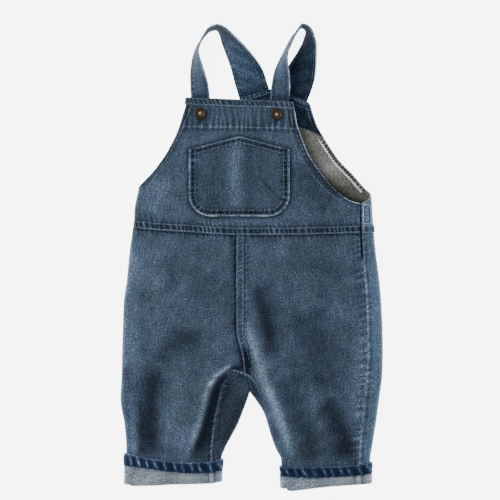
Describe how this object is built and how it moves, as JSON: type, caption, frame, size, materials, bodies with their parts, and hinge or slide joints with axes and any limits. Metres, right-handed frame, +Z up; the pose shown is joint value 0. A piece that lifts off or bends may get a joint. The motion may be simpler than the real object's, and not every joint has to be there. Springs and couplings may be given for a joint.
{
  "type": "denim overalls",
  "caption": "Toddler's washed blue denim overalls laid out flat, with buttoned shoulder straps, a peaked bib pocket, felled seams and turned-up cuffs.",
  "frame": {"origin": "middle of the garment's bounding box, on the surface it lies on", "axes": "+Y from the turned-up cuffs to the straps, +X to the right of somebody looking down on the front, +Z up from the surface"},
  "size_m": [0.3336, 0.5905, 0.0337],
  "materials": {
    "armhole_hem_left": "grey wrong side of the denim",
    "armhole_hem_right": "grey wrong side of the denim",
    "back_bodice": "washed blue denim, right side",
    "back_facing": "dark navy denim of the facing and the turned hems",
    "bib_front": "washed blue denim, right side",
    "bib_pocket": "washed blue denim, right side",
    "bib_top_hem": "washed blue denim, right side",
    "button_left": "aged bronze",
    "button_right": "aged bronze",
    "cuff_left": "grey wrong side of the denim",
    "cuff_right": "grey wrong side of the denim",
    "hem_left": "dark navy denim of the facing and the turned hems",
    "hem_right": "dark navy denim of the facing and the turned hems",
    "leg_back_left": "washed blue denim, right side",
    "leg_back_right": "washed blue denim, right side",
    "leg_front_left": "washed blue denim, right side",
    "leg_front_right": "washed blue denim, right side",
    "rise_seam_front": "washed blue denim, right side",
    "strap_left": "washed blue denim, right side",
    "strap_right": "washed blue denim, right side",
    "waist_seam_back": "washed blue denim, right side",
    "waist_seam_front": "washed blue denim, right side"
  },
  "bodies": {
    "root": {"armhole_hem_left": "armhole_hem_left", "armhole_hem_right": "armhole_hem_right", "back_bodice": "back_bodice", "back_facing": "back_facing", "bib_front": "bib_front", "bib_pocket": "bib_pocket", "bib_top_hem": "bib_top_hem", "button_left": "button_left", "button_right": "button_right", "cuff_left": "cuff_left", "cuff_right": "cuff_right", "hem_left": "hem_left", "hem_right": "hem_right", "leg_back_left": "leg_back_left", "leg_back_right": "leg_back_right", "leg_front_left": "leg_front_left", "leg_front_right": "leg_front_right", "rise_seam_front": "rise_seam_front", "strap_left": "strap_left", "strap_right": "strap_right", "waist_seam_back": "waist_seam_back", "waist_seam_front": "waist_seam_front"}
  },
  "joints": []
}
